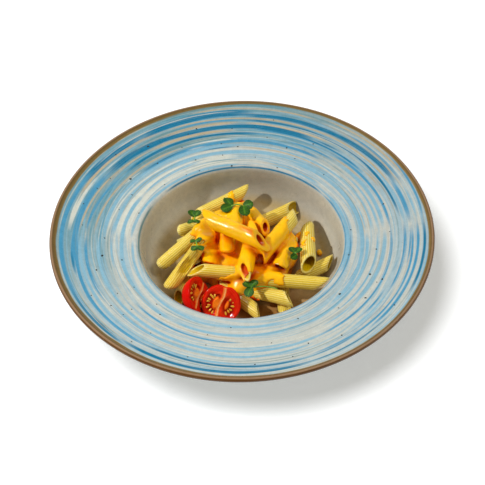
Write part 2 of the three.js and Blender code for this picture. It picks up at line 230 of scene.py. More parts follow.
# The painting, on the grid of angle and radius. Each stroke is a band round the rim: its middle runs through
# the given angles and radii, its ends taper, and streaks along it let the glaze below show, as a dry brush
# does. Each row: tone, width (mm), then angles (degrees) and radii (mm) in turn.
# The tones: light, middle and deep blue, tan, pale, grey-green and dark.
TONES = {"L": "8bbdd4", "M": "4b9cc4", "D": "0079a2", "T": "c2b294", "P": "dcdfd3", "G": "6f9498",
         "K": "2f5c6c"}
STROKES = [
    ("D", 1.2, 35, 76.5, 140, 76.5), ("G", 1.4, 150, 76.4, 200, 76.4), ("M", 0.9, 200, 76.5, 395, 76.5),
    ("L", 2.5, -30, 78.5, 35, 78.5), ("L", 2.2, 90, 78.5, 130, 79, 180, 82), ("L", 2.0, 40, 80.5, 75, 80.5),
    ("L", 3.0, 310, 91, 360, 88.5, 425, 88), ("L", 1.2, 0, 91.5, 20, 91.5),
    ("L", 3.2, 30, 91.5, 90, 91, 150, 93.5, 180, 95), ("T", 0.9, 43, 93.5, 90, 95),
    ("P", 1.2, 90, 94.2, 130, 95, 180, 99.5), ("L", 1.3, 0, 96.5, 60, 95.5, 90, 97),
    ("L", 3.2, 90, 97.5, 135, 99, 180, 102), ("L", 1.5, 0, 100.3, 36, 100.3),
    ("G", 1.2, 36, 100.3, 46, 100.3), ("M", 2.4, 50, 100, 90, 101.5, 105, 101, 140, 101.2),
    ("K", 0.6, 115, 101.6, 140, 101.4), ("P", 1.2, 105, 100.2, 115, 100.6), ("D", 1.0, 90, 96, 110, 96.5),
    ("P", 0.7, 35, 101.8, 45, 101.8), ("P", 0.7, 60, 102, 70, 102), ("L", 2.8, 0, 104.3, 45, 104.5),
    ("M", 1.6, 45, 104.5, 70, 105.5), ("P", 1.1, 90, 103.3, 115, 104.3),
    ("T", 1.2, 115, 104.3, 150, 106, 180, 109), ("T", 1.2, 27, 106.5, 50, 106.5),
    ("G", 2.0, 90, 105.5, 115, 106.3, 140, 108), ("K", 0.7, 133, 108.3, 142, 108.3),
    ("M", 2.0, 0, 109, 50, 108.8), ("D", 2.2, 80, 108.4, 90, 108.7, 120, 110, 145, 110),
    ("M", 1.7, 145, 110, 180, 115), ("M", 1.8, 30, 111, 85, 112.5), ("D", 0.9, 34, 111.3, 84, 112.7),
    ("T", 2.4, 90, 111.8, 130, 113.5), ("T", 1.2, 128, 113.4, 150, 116, 180, 119.5),
    ("T", 1.5, 20, 113.5, 35, 113), ("D", 1.5, 45, 114, 60, 113.8),
    ("D", 3.8, 58, 113.8, 90, 115.5, 110, 115.8, 130, 118.5),
    ("D", 4.8, 118, 116.8, 135, 118.8, 150, 119.5), ("M", 3.6, 146, 119.3, 180, 122, 200, 125),
    ("T", 1.8, 50, 116.5, 70, 117, 90, 119), ("T", 2.3, 88, 119, 122, 119.6), ("D", 1.8, 5, 117.3, 35, 117),
    ("L", 2.5, 0, 119.5, 40, 119.5), ("D", 1.8, 20, 117.5, 50, 118.7, 90, 121.3),
    ("M", 1.8, 88, 121.3, 115, 122.5), ("G", 1.6, 112, 122.4, 130, 122),
    ("T", 1.3, 20, 121, 90, 123, 120, 124.5), ("T", 2.2, 118, 124.5, 150, 126.5, 165, 127),
    ("P", 1.2, 160, 127, 180, 127.5), ("P", 1.2, 138, 122.5, 155, 123.8),
    ("P", 2.4, 150, 123.6, 180, 126.5), ("M", 3.0, 0, 123.5, 24, 123.6),
    ("D", 3.4, 20, 125.3, 60, 125.2, 90, 126), ("D", 5.6, 84, 128, 130, 128),
    ("D", 4.4, 126, 128, 150, 129.5, 160, 130.2), ("M", 2.8, 150, 129.6, 180, 131.5, 215, 132.5),
    ("D", 2.0, 205, 132.3, 235, 133.2), ("T", 1.0, 20, 127.3, 60, 129.8), ("P", 0.6, 90, 129.5, 150, 130.5),
    ("L", 2.0, 0, 128.6, 20, 129), ("M", 1.8, 18, 129, 50, 130), ("T", 1.3, 60, 131.5, 110, 132.5),
    ("M", 1.6, 0, 132.8, 20, 134.5, 35, 135), ("T", 1.4, 20, 133.4, 60, 133.8),
    ("G", 2.0, 90, 134.5, 140, 135), ("P", 4.2, 90, 86.5, 135, 88.6, 180, 92),
    ("G", 0.6, 90, 83.5, 110, 84.5), ("L", 1.5, 110, 86.5, 150, 87.5),
    ("L", 3.0, 148, 87.4, 180, 88.5, 210, 91, 240, 93.8),
    ("L", 2.6, 236, 93.6, 270, 94.5, 300, 95, 330, 93.5, 360, 91.8), ("P", 3.0, 90, 81.5, 180, 86),
    ("L", 2.0, 180, 80.5, 220, 83.7, 250, 86, 290, 86), ("D", 1.6, 187, 124.5, 200, 125),
    ("M", 2.2, 178, 122.7, 193, 123.5), ("P", 0.7, 192, 122.8, 205, 124.2),
    ("M", 2.4, 180, 120, 210, 124, 240, 125), ("D", 2.0, 236, 124.6, 245, 124.4, 270, 125.8, 290, 126.5),
    ("D", 0.7, 286, 126.5, 308, 126), ("G", 0.6, 260, 122.5, 295, 122.5),
    ("L", 2.0, 180, 118, 230, 120.8, 270, 123), ("M", 2.2, 180, 114, 215, 116),
    ("L", 2.2, 215, 112.5, 245, 114.5, 270, 116.5, 295, 115),
    ("L", 2.3, 180, 105.2, 220, 108, 270, 111.2, 300, 110.5), ("M", 1.8, 296, 110.6, 360, 109.3),
    ("G", 0.6, 183, 103, 200, 103.2), ("M", 1.4, 220, 98.8, 245, 101, 270, 101.8),
    ("L", 1.5, 180, 96, 200, 97), ("K", 0.7, 215, 130.5, 232, 131.5),
    ("D", 2.6, 230, 131, 270, 131.8, 290, 131.3), ("D", 0.9, 286, 131.4, 320, 131),
    ("L", 1.0, 255, 107.4, 290, 107.5), ("L", 1.5, 300, 104, 320, 103.5),
    ("L", 2.8, 316, 103.6, 360, 104.8), ("M", 1.2, 300, 81.3, 360, 80), ("L", 2.0, 340, 78.5, 372, 78.5),
    ("L", 1.4, 310, 99, 360, 99.5), ("L", 2.1, 305, 119.7, 330, 119), ("M", 2.2, 326, 119, 362, 119),
    ("M", 1.6, 312, 115.8, 330, 115.5), ("M", 1.2, 337, 114.5, 345, 116),
    ("M", 1.6, 290, 124.5, 330, 125.3, 360, 124), ("M", 1.4, 340, 122.5, 360, 123),
    ("M", 2.0, 310, 128, 362, 128.3), ("L", 1.4, 300, 135, 350, 135.3), ("D", 1.8, 328, 132.5, 362, 133)]

paint_radius = plate_rows[:, 0][:, None]
paint_turn = np.degrees(turn)[None, :]
brush = np.random.default_rng(11)


def streaks(cells, rows, drift):
    """Streaks round the rim: random values by row and by angle cell, blended smoothly along the angle. Each
    column is shifted in radius by a slow wave, so that a streak wanders as a hand-drawn one does."""
    values = brush.random((rows + 40, cells))
    place = np.arange(ROUND) * cells / ROUND
    first = place.astype(int)
    share = step(0, 1, place - first)
    field = values[:, first % cells] * (1 - share) + values[:, (first + 1) % cells] * share
    wave = drift * (np.sin(turn * 2 + brush.random() * 6) + np.sin(turn * 5 + brush.random() * 6) * 0.4)
    shift = np.arange(rows)[:, None] + 20 + wave[None, :]
    low = np.floor(shift).astype(int)
    part = shift - low
    column = np.arange(ROUND)[None, :]
    return field[low, column] * (1 - part) + field[low + 1, column] * part


fine = streaks(26, count, 5.0)
finer = streaks(70, count, 2.0)
broad = streaks(14, count, 7.0)
broad = (broad + np.roll(broad, 1, 0) + np.roll(broad, 2, 0) + np.roll(broad, -1, 0)) / 4
back = step(-0.35, 0.75, np.sin(turn - 0.25))[None, :]
paper, warm, wash = linear("d6d7cd"), linear("c2b49a"), linear("4f97ad")
tint = painted(paper, warm, back * step(92, 102, paint_radius) * 0.75 * fine)
tint = tint * (0.93 + 0.12 * finer)[..., None]
washed = 0.10 + 0.68 * step(-0.3, 0.7, np.sin(turn - 0.6))[None, :] * step(93, 104, paint_radius)
tint = painted(tint, wash, washed * (0.55 + 0.9 * broad))
bands = streaks(9, count, 9.0)
bands = (bands + np.roll(bands, 1, 0) + 0.5 * np.roll(bands, 2, 0)) / 2.5
tint = painted(tint, linear(TONES["L"]), 0.55 * step(0.46, 0.66, bands))

# faint hand-drawn hairs first, then the strokes, then a few hairs over them
HAIRS, HAIRS_BELOW = 300, 220
for hair in range(HAIRS):
    start, span = brush.random() * 360, 12 + brush.random() * 55
    middle = 78 + brush.random() * 57 + (brush.random() - 0.3) * 2.5 * ((paint_turn - start) % 360) / span
    along = ((paint_turn - start) % 360) / span
    ends = step(0, 0.25, along) * step(0, 0.25, 1 - along)
    band = step(0.5, 0.1, np.abs(paint_radius - middle))
    kind = ["L", "L", "M", "P", "T", "G", "P"][hair % 7]
    tint = painted(tint, linear(TONES[kind]), band * ends * (0.35 + 0.4 * brush.random()))
    if hair == HAIRS_BELOW - 1:
        for tone, width, *route in STROKES:
            angles, radii = np.array(route[0::2], float), np.array(route[1::2], float)
            along = (paint_turn - angles[0]) % 360
            span = angles[-1] - angles[0]
            middle = np.interp(along, angles - angles[0], radii)
            taper = np.sqrt(step(0, 9, along) * step(0, 9, span - along))
            wide = width * (0.55 + 0.45 * taper) + 0.5 * (finer - 0.5)
            band = step(-0.34, 0.34, wide / 2 - np.abs(paint_radius - middle))
            shade = linear(TONES[tone])[None, None, :] * (0.90 + 0.22 * broad)[..., None]
            tint = painted(tint, shade, band * taper * np.clip(0.70 + 0.6 * fine, 0, 1))

# painted light: the rim's paint is darker on the right and far side, where the key lamp falls most, and
# lighter on the left and near side
tint = tint * (0.83 - 0.05 * np.cos(turn - 0.1) - 0.035 * np.sin(turn))[None, :, None]

# bare glaze of the bowl, brown edge, pale outer face and the bare clay foot
wobble = 0.5 * (finer - 0.5) + 0.35 * np.sin(turn * 3 + 1)[None, :]
clay = rgb(0.50, 0.475, 0.39) * (0.94 + 0.1 * broad)[..., None]
# painted light: the left wall of the bowl is paler as a painted reflection, the far right one darker as
# painted shade
painted_sheen_and_shade = 0.30 * np.exp(-((paint_turn - 137) / 20) ** 2) - 0.30 * np.exp(-((paint_turn - 74) / 30) ** 2)
clay = clay * (1 + painted_sheen_and_shade * step(58, 66, paint_radius))[..., None]
# painted shade: the floor of the bowl round the food is darker and warmer brown, most of all at the front
floor_shade = step(71, 62, paint_radius) * (0.75 + 0.25 * fine)
front_floor_shade = np.exp(-((paint_turn - 285) / 42) ** 2) * step(38, 50, paint_radius) * step(73, 64, paint_radius)
clay = painted(painted(clay, rgb(0.40, 0.29, 0.12), floor_shade), rgb(0.42, 0.17, 0.02), 0.75 * front_floor_shade)
tint = painted(tint, clay, step(76.1, 75.5, paint_radius + 0.3 * wobble))
outermost = int(np.argmax(plate_rows[:, 0]))
outside = np.arange(count)[:, None] > outermost
# the brown edge: olive where it meets the paint, then brown, a paler line along the top and dark outside
edge_place = paint_radius + 0.5 * wobble
brown = linear("7c6434") * (0.92 + 0.16 * broad)[..., None]
for tone, start, stop in (("6c5431", 136.5, 137.2), ("94765a", 137.5, 138.1), ("5c380a", 138.8, 139.4)):
    brown = painted(brown, linear(tone), np.where(outside, 1.0, step(start, stop, edge_place)))
inner_edge = 135.7 - 1.1 * np.maximum(-np.cos(turn), 0)[None, :]
on_edge = step(-0.4, 0.4, paint_radius + wobble - inner_edge) * (~outside | (plate_rows[:, 1:] > 46))
tint = painted(tint, brown, on_edge)
under = linear("8f948f") * (0.92 + 0.12 * broad)[..., None]
tint = painted(tint, under, 1.0 * outside * step(46.9, 46.1, plate_rows[:, 1:] + 0.4 * wobble))
foot = linear("a98f6c") * (0.92 + 0.14 * finer)[..., None]
on_foot = outside & (plate_rows[:, 1:] < 1.9) & (paint_radius > 43) & (paint_radius < 51)
tint = painted(tint, foot, 1.0 * on_foot)

plate_tint = np.vstack([tint.reshape(-1, 3), clay[:1, 0], under[-1:, 0]])
plate = make_piece("stoneware_plate", plate_points, *closed_faces(count, ROUND), colour=plate_tint)

glaze = new_finish(
    "painted_glaze",
    [(260, 4, (0.3, (0.93, 0.93, 0.92)), (0.7, (1.05, 1.04, 1.03)), 1.0),
     (1500, 2, (0.30, (0.80, 0.76, 0.70)), (0.42, (1, 1, 1)), 0.8)],
    gloss=(90, 3, (0.3, 0.24), (0.7, 0.40)), relief=(120, 4, 0.5, 0.0006, 0.5),
    IOR=1.5, Specular_IOR_Level=0.3, Coat_Weight=0.25, Coat_Roughness=0.05)
plate.data.materials.append(glaze)
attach(plate, "root")
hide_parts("plate")

# Iron specks: dark spots that the clay bleeds through the glaze, thin irregular domes on the rim.
# Each row: angle (degrees) and radius (mm). The big ones are named by their place in the list.
SPECKS = [
    (13, 109.5), (3, 81), (44, 90), (58, 110), (62, 92), (68, 99.5), (68.5, 79), (77, 123), (78, 106),
    (82, 86), (93, 113.5), (91, 96), (98.5, 100), (99, 89), (95, 77.7), (107, 118), (111, 115), (116, 105),
    (113, 90), (114, 79), (122, 80), (128, 118), (130, 101), (140, 127), (145, 104), (136, 82), (152, 94.5),
    (150, 116), (157, 119), (163, 96.5), (161, 82), (166, 122), (176, 118), (181, 101), (191, 103.4),
    (194, 90), (198.5, 110), (210, 122), (212.5, 104.5), (212, 91), (217, 114.6), (222.5, 105), (223, 113),
    (226.5, 88), (232, 94), (234, 128), (236, 113), (252, 122), (255, 96.5), (256, 107), (264, 86.5),
    (273, 124), (280, 104.5), (285, 122), (292, 114), (295, 88), (303, 120), (312, 98), (322, 107.5),
    (323, 129), (319, 89.6), (333, 110), (331, 107.5), (334.5, 100), (345, 80), (349, 99), (358, 108.5)]
BIG_SPECKS = [5, 14, 15, 21, 24, 34, 36, 58, 60, 61, 63]
speck_place = np.array(SPECKS, float)
speck_size = np.where(np.isin(np.arange(len(SPECKS)), BIG_SPECKS), 0.92, 0.62)
speck_size = speck_size * (0.85 + 0.3 * brush.random(len(SPECKS)))
speck_turn = np.radians(speck_place[:, :1])
spoke = np.radians(np.arange(12) * 30)[None, None, :]
ring = np.array([0.3, 0.6, 0.85, 1.0])[None, :, None]
ragged = 1 + 0.16 * np.sin(2 * spoke + 6 * brush.random((len(SPECKS), 1, 1)))
ragged = ragged + 0.12 * np.sin(3 * spoke + 6 * brush.random((len(SPECKS), 1, 1)))
ragged = speck_size[:, None, None] * ring * ragged
speck_r = (ragged * np.cos(spoke)).reshape(len(SPECKS), -1)
speck_s = (ragged * np.sin(spoke)).reshape(len(SPECKS), -1)
dome = 0.09 * (1 - ring ** 2) * speck_size[:, None, None] - 0.03 * ring ** 4 + 0 * spoke
# a pole above and a pole below the rings close each speck
none = np.zeros(len(SPECKS))
speck_r = np.column_stack([speck_r, none, none]) + speck_place[:, 1:]
speck_s = np.column_stack([speck_s, none, none])
dome = np.column_stack([dome.reshape(len(SPECKS), -1), 0.09 * speck_size, none - 0.12])
top_curve = plate_curve[:outermost]
height = np.interp(speck_r, top_curve[:, 0], top_curve[:, 1]) + dome
speck_x = speck_r * np.cos(speck_turn) - speck_s * np.sin(speck_turn)
speck_y = speck_r * np.sin(speck_turn) + speck_s * np.cos(speck_turn)
speck_points = np.stack([speck_x, speck_y, height], -1).reshape(-1, 3)
specks = make_piece("iron_specks", speck_points, *closed_faces(4, 12, len(SPECKS)))
iron = new_finish("iron_spot", [(1400, 3, (0.3, linear("14181a")), (0.7, linear("33352f")), 1.0)],
                  tinted=False, Roughness=0.35, Coat_Weight=0.4, Coat_Roughness=0.12)
specks.data.materials.append(iron)
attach(specks, "root")

# ---------------------------------------------------------------------------
# THE PENNE
# Ridged tubes of boiled durum pasta, each cut slantwise at both ends. They lie in a heap as they were tipped
# into the bowl, twenty-two of them showing, held by the sauce.
# Each row: middle (mm), heading, climb, turn of the cuts (degrees), length and radius (mm).
# ---------------------------------------------------------------------------

PENNE = np.array([
    [-17, 47, 21, 30, 4, -30, 45, 5.0], [8, 33, 21, -64, 20, 120, 47, 5.1],
    [-27, 30, 18, 30, -10, -135, 45, 5.0], [-40, 6, 14, -68, 8, 15, 34, 5.0],
    [-42, 4, 24, 42, 12, -150, 47, 5.1], [-39, -15, 26, 56, 12, 180, 49, 5.2],
    [-18, -27, 26, -6, -2, -15, 32, 5.3], [-43, -30, 13, -112, 2, -150, 23, 4.9],
    [-5, -2, 43, -36, 6, 150, 45, 5.3], [-11, 8.9, 26.4, -90, 6, 0, 36, 5.0],
    [5, -14, 33, -100, 6, -120, 42, 5.3], [27.8, 4.1, 30.6, -120, 8, -75, 53, 5.3],
    [29, 41, 14, 30, 0, -141, 30, 5.6], [49, -1, 22, -92, 12, 120, 44, 5.9],
    [51.5, -20, 16.5, 26, 4, -90, 30, 5.1], [33, -37, 25, -8, 0, -30, 48, 5.2],
    [17, -44, 19, -36, 22, 105, 41, 5.2], [-3, -42, 13, -46, 2, 105, 39, 5.1],
    [29, -42, 13, -88, 2, 0, 28, 5.0], [33, -6, 23, -106, 16, -15, 44, 5.3],
    [-21, 5, 18, -100, 12, -15, 40, 5.1], [-4, 25, 29, -94, 14, 0, 38, 5.1]])
TUBES = len(PENNE)
WALL, RIDGES, RIDGE_DEPTH = 1.3, 20, 0.16
# how far a cut runs along the tube for each mm across it
SLANT = np.full(TUBES, 1.15)
SLANT[[6, 8, 10, 12]] = 1.45, 1.3, 1.6, 1.75

middle = PENNE[:, :3]
heading, climb, cut_turn = np.radians(PENNE[:, 3]), np.radians(PENNE[:, 4]), np.radians(PENNE[:, 5])
length, radius = PENNE[:, 6], PENNE[:, 7]
axis = np.stack([np.cos(heading) * np.cos(climb), np.sin(heading) * np.cos(climb), np.sin(climb)], -1)
side = np.cross(axis, [0, 0, 1.0])
side /= np.linalg.norm(side, axis=1)[:, None]
over = np.cross(side, axis)
tip = np.cos(cut_turn)[:, None] * over + np.sin(cut_turn)[:, None] * side
third = np.cross(axis, tip)

# Each tube is a loop carried round its axis: out along the ridged outer wall, over the rounded lip of the
# cut, back along the bore and over the other lip. Both ends are sheared: a point moves along by slant r
# cos(angle). Each step of the loop: where it lies along the tube, how deep in the wall, and a small lift.
AROUND = 120
dice = np.random.default_rng(5)
outer_steps, bore_steps = np.linspace(-1, 1, 15), np.array([0.94, 0.8, 0.5, 0, -0.5, -0.8, -0.94])
at_end = np.abs(outer_steps) > 0.999
run = np.concatenate([outer_steps, [1.0, 1.0], bore_steps, [-1.0, -1.0]])
depth = np.concatenate([RIDGE_DEPTH * at_end, [0.75, 1.25], np.full(7, WALL), [1.25, 0.75]])
lift = np.concatenate([-0.12 * np.sign(outer_steps) * at_end, [0.12, 0.0], np.zeros(7), [0.0, -0.12]])
loop_rows = len(run)
angle = (np.arange(AROUND) / AROUND * 2 * np.pi)[None, None, :]
along = run[None, :, None] * length[:, None, None] / 2 + lift[None, :, None]
is_outer = (depth < 0.5)[None, :, None]
ridge = (0.5 + 0.5 * np.cos(RIDGES * angle + dice.random((TUBES, 1, 1)) * 6)) ** 1.6
groove = np.where(is_outer, RIDGE_DEPTH * (1 - ridge), 0.05 * ridge)
ring_radius = radius[:, None, None] - depth[None, :, None] - groove

# boiled tubes are a little flattened and bent, and their walls wave gently
flat = 1 - 0.03 * dice.random((TUBES, 1, 1))
lumpy = 1 + 0.012 * np.sin(2 * angle + dice.random((TUBES, 1, 1)) * 6 + along * 0.12) + \
    0.008 * np.sin(3 * angle + dice.random((TUBES, 1, 1)) * 6 - along * 0.2)
ring_radius = ring_radius * lumpy * 0.985
bend = 0.5 * (dice.random((TUBES, 1, 1)) - 0.5) * (1 - (2 * along / length[:, None, None]) ** 2)
reach_t = ring_radius * np.cos(angle)
reach_q = ring_radius * np.sin(angle) * flat
slant = along + SLANT[:, None, None] * ring_radius * np.cos(angle)
noodle_points = middle[:, None, None, :] + axis[:, None, None, :] * slant[..., None] + \
    tip[:, None, None, :] * reach_t[..., None] + third[:, None, None, :] * reach_q[..., None] + \
    side[:, None, None, :] * bend[..., None]

# a tube that meets the wall of the bowl gives way: its points are eased back to stay inside the wall, as
# wall - give log(1 + exp((wall - r) / give)), which leaves a point far from the wall where it is
WALL_GAP, GIVE = 0.3, 0.8
to_wall = np.interp(np.clip(noodle_points[..., 2], 7.1, 34), top_curve[:, 1], top_curve[:, 0]) - WALL_GAP
far_out = np.hypot(noodle_points[..., 0], noodle_points[..., 1])
eased = to_wall - GIVE * np.logaddexp(0, (to_wall - far_out) / GIVE)
noodle_points[..., :2] *= (eased / far_out)[..., None]

# the tube at the left front is pressed in where a spoon caught it
DENT_NOODLE, DENT_AT = 5, np.array([-40.6, -22.9, 28.6])
away = noodle_points[DENT_NOODLE] - DENT_AT
outward = 0.80 * over[DENT_NOODLE] + 0.60 * side[DENT_NOODLE]
past = np.hypot((away @ axis[DENT_NOODLE]) / 8.0, (away @ np.cross(axis[DENT_NOODLE], outward)) / 3.6)
press = step(1.15, 0.75, past) * (away @ outward > -4.0)
noodle_points[DENT_NOODLE] -= outward * (3.0 * press)[..., None]

# colour: creamy cut edges, painted highlight on the paler ridges, painted shade deeper yellow in grooves and
# bore
dough, cream_and_highlight, shaded_dough = rgb(0.78, 0.61, 0.010), rgb(0.89, 0.82, 0.38), rgb(0.66, 0.41, 0.001)
tone = dice.random((TUBES, 1, 1))
near_cut = step(0.93, 1.0, np.abs(run))[None, :, None] * np.ones_like(ring_radius)
cream_and_highlight_share = np.where(is_outer, 0.22 + 0.50 * ridge, 0.0)
cream_and_highlight_share = np.clip(cream_and_highlight_share + 0.6 * near_cut * (depth > 0.1)[None, :, None], 0, 1)
shade_share = np.where(is_outer, 0.52 * (1 - ridge) + 0.36 * tone, 0.85 - 0.6 * near_cut)
noodle_tint = painted(painted(dough, cream_and_highlight, cream_and_highlight_share), shaded_dough, shade_share)
# painted shade: the pressed-in hollow is painted deeper yellow
noodle_tint[DENT_NOODLE] = painted(noodle_tint[DENT_NOODLE], shaded_dough, 0.8 * press)

one_noodle = grid_faces(loop_rows, AROUND)
first_ring = np.arange(AROUND)
last_ring = first_ring + (loop_rows - 1) * AROUND
closing = np.stack([last_ring, first_ring, np.roll(first_ring, -1), np.roll(last_ring, -1)], -1)
one_noodle = np.vstack([one_noodle, closing])[:, ::-1]
noodle_faces = (one_noodle[None] + loop_rows * AROUND * np.arange(TUBES)[:, None, None]).reshape(-1, 4)
penne = make_piece("penne", noodle_points.reshape(-1, 3), noodle_faces, colour=noodle_tint.reshape(-1, 3))

durum = new_finish(
    "boiled_durum",
    [(170, 4, (0.3, (0.97, 0.94, 0.82)), (0.65, (1.04, 1.04, 1.0)), 1.0),
     (900, 3, (0.35, (0.96, 0.95, 0.90)), (0.6, (1.03, 1.03, 1.03)), 1.0)],
    gloss=(140, 3, (0.35, 0.26), (0.65, 0.5)), relief=(700, 4, 0.55, 0.00025, 0.6),
    IOR=1.38, Specular_IOR_Level=0.15, Coat_Weight=0.6, Coat_Roughness=0.08,
    Subsurface_Weight=0.1, Subsurface_Scale=0.0007, Subsurface_Radius=(1.0, 0.75, 0.25))
penne.data.materials.append(durum)
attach(penne, "root")
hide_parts("pasta_heap")

# ---------------------------------------------------------------------------
# THE CHEESE SAUCE
# A smooth, glossy orange cheese sauce poured over the heap: it coats some tubes all round, runs into the gaps
# between them, fills the middle of the heap and leaves ragged edges where the bare pasta shows.
# ---------------------------------------------------------------------------

CELL = 0.66
LOW, HIGH = np.array([-62.0, -60, 7.2]), np.array([72.0, 62, 51])
steps = np.ceil((HIGH - LOW) / CELL).astype(int)
gx, gy, gz = [(LOW[k] + CELL * np.arange(steps[k] + 1)).astype(np.float32) for k in range(3)]
ladle = np.random.default_rng(23)


def ripple(points, size, count):
    """Soft lumpy noise between about -1 and 1: a sum of plane waves in random directions, their crests about
    size apart."""
    direction = ladle.normal(size=(count, 3))
    direction /= np.linalg.norm(direction, axis=1)[:, None]
    wave = 2 * np.pi / (size * (0.7 + 0.8 * ladle.random(count)))
    phase = ladle.random(count) * 2 * np.pi
    total = 0
    for k in range(count):
        total = total + np.sin(wave[k] * (points @ direction[k].astype(np.float32)) + phase[k])
    return total / math.sqrt(count / 2)


def blend(first, second, width):
    """The union of two distance fields with a fillet of the given width where they meet."""
    share = np.clip(0.5 + 0.5 * (second - first) / width, 0, 1)
    return second + (first - second) * share - width * share * (1 - share)


grid = np.stack(np.meshgrid(gx, gy, gz, indexing="ij"), -1)
lumpy_coarse = ripple(grid, 11.0, 9).astype(np.float32)
lumpy_fine = ripple(grid, 4.0, 9).astype(np.float32)

# pools and mounds between the tubes: middle and radii (mm)
POOLS = [
    [2, -4, 8, 36, 33, 16], [-12, 26, 25, 13, 9, 8], [5, 31, 22, 9, 12, 7], [-27, 6, 24, 8, 11, 7],
    [13, -29, 21.5, 14, 11, 8.5], [-1, -35, 18, 8, 7, 7], [35, -3, 20, 7, 16, 7], [-7, -12, 18, 8, 8, 6],
    [-22, -4, 20.5, 6, 9, 5], [-27, -5, 24, 4, 4, 4], [-33, -15, 12, 9, 6, 5], [-8, 4, 38, 3.2, 3.2, 3.2],
    [14, -17, 39, 3.2, 3.2, 3.2], [10.5, -15, 35, 3.2, 3.2, 3.2], [44, 14, 18, 3.2, 3.2, 3.2],
    [13, 33, 15, 4, 4, 4], [12, -13, 24, 6, 6, 5], [22, -13, 21, 6, 6, 5.5], [27, -24, 22, 6, 6, 4.5],
    [58.3, 5.2, 8.2, 2.2, 3.2, 2.0]]
sauce = np.full(grid.shape[:3], 99, np.float32)
for pool in np.array(POOLS, np.float32):
    scaled = np.sqrt((((grid - pool[:3]) / pool[3:]) ** 2).sum(-1))
    sauce = blend(sauce, (scaled - 1) * pool[3:].min() - 0.3 * lumpy_coarse, 4.0)
core = sauce.copy()

# coated stretches of the tubes: number, from, to (mm along the axis), thickness of the coat
COATS = [
    (8, -30, 30, 0.95), (10, -30, 30, 0.85), (11, -15, 32, 0.9), (1, -19, 30, 0.8), (21, -30, 30, 0.9),
    (4, 10, 30, 0.8), (5, 17, 30, 0.8), (20, -30, 30, 1.0), (9, -30, 30, 0.8), (6, 6.5, 30, 0.8),
    (15, -30, -10.5, 0.9), (19, -18, 23, 0.9), (16, -30, -12, 0.8)]
# smaller patches that cling to a tube: number, middle (mm), radius, thickness
PATCHES = [
    (13, 48.5, 11.5, 27.5, 4.0, 0.5), (13, 53.5, 3, 26, 2.6, 0.5), (13, 45.5, -1.5, 28, 2.0, 0.5),
    (5, -28, -4, 33, 3.5, 0.6), (4, -38, -10, 29, 5.0, 0.7), (0, -8, 50, 25, 4.0, 0.4),
    (15, 24, -38, 30, 5.0, 0.6)]
# tubes whose bore is full of sauce, and from where along the axis, then those coated nearly all over
FILLED = {4: -99, 5: 11, 9: -99, 20: -99}
COATED = (1, 6, 8, 10, 11, 21)
# a patch wiped off a tube: number, middle (mm), radius
BARE = [(10, 4.2, -41.5, 33.2, 4.0)]
tube_field = np.full(grid.shape[:3], 99, np.float32)
bores = []
for i in range(TUBES):
    reach = length[i] / 2 + 9 + radius[i] * SLANT[i]
    half = np.abs(axis[i]) * reach + radius[i] + 5
    first = np.clip(((middle[i] - half - LOW) / CELL).astype(int), 0, steps)
    last = np.clip(((middle[i] + half - LOW) / CELL).astype(int) + 2, 0, steps + 1)
    box = tuple(slice(a, b) for a, b in zip(first, last))
    away = grid[box] - middle[i].astype(np.float32)
    run_a = away @ axis[i].astype(np.float32)
    run_t = away @ tip[i].astype(np.float32)
    run_q = away @ third[i].astype(np.float32)
    from_axis = np.sqrt(run_t ** 2 + run_q ** 2)
    run_cut = run_a - SLANT[i] * run_t
    past_end = (np.abs(run_cut) - length[i] / 2) / math.hypot(1, SLANT[i])
    tube = np.maximum(from_axis - radius[i], past_end)
    tube_field[box] = np.minimum(tube_field[box], tube)
    edge = 1.0 * lumpy_fine[box] + 1.6 * lumpy_coarse[box]
    coat = step(2.6, 0.9, core[box] + 0.5 * lumpy_fine[box]) * 0.9 - 1
    for number, start, stop, thick in COATS:
        if number == i:
            inside = np.minimum(run_cut - start, stop - run_cut)
            coat = np.maximum(coat, step(-0.9, 0.9, inside + edge) * (1 + thick) - 1)
    for number, px, py, pz, size, thick in PATCHES:
        if number == i:
            gone = np.linalg.norm(grid[box] - np.array([px, py, pz], np.float32), axis=-1)
            coat = np.maximum(coat, step(-0.8, 0.8, size - gone + edge) * (1 + thick) - 1)
    for number, px, py, pz, size in BARE:
        if number == i:
            gone = np.linalg.norm(grid[box] - np.array([px, py, pz], np.float32), axis=-1)
            coat = np.minimum(coat, step(-0.8, 0.8, gone - size + 0.5 * edge) * 1.9 - 1)
    thickness = np.where(coat > 0, coat, 3.0 * coat) + 0.04 * lumpy_fine[box] + 0.12 * lumpy_coarse[box]
    # the film laps over the cut, and bulges further where the bore is full
    lap, fillet = (1.6, 3.0) if i in FILLED else (0.55, 0.6)
    film = -blend(radius[i] + thickness - from_axis, lap * np.clip(coat, 0, 1) - past_end, fillet)
    sauce[box] = np.where(film < 4, blend(sauce[box], film, 2.8), sauce[box])
    # a bare tube is hollow right through, a coated one only near its ends
    coated = i in COATED
    bore_depth = (5.0 if i == 10 else 8.5) if coated else 99
    end_zone = (np.abs(run_cut) > length[i] / 2 - bore_depth) & (np.abs(run_cut) < length[i] / 2 + 1.2)
    end_zone &= run_cut < FILLED.get(i, 99)
    bore = from_axis - radius[i] + WALL + (1.0 if coated else 0.3)
    bores.append((box, np.where(end_zone, bore, 9).astype(np.float32)))
for box, bore in bores:
    sauce[box] = np.maximum(sauce[box], -bore)
# the surface closes at the sides of the grid
for k in range(3):
    sheets = np.moveaxis(sauce, k, 0)
    sheets[[0, -1]] = np.maximum(sheets[[0, -1]], 0.2)


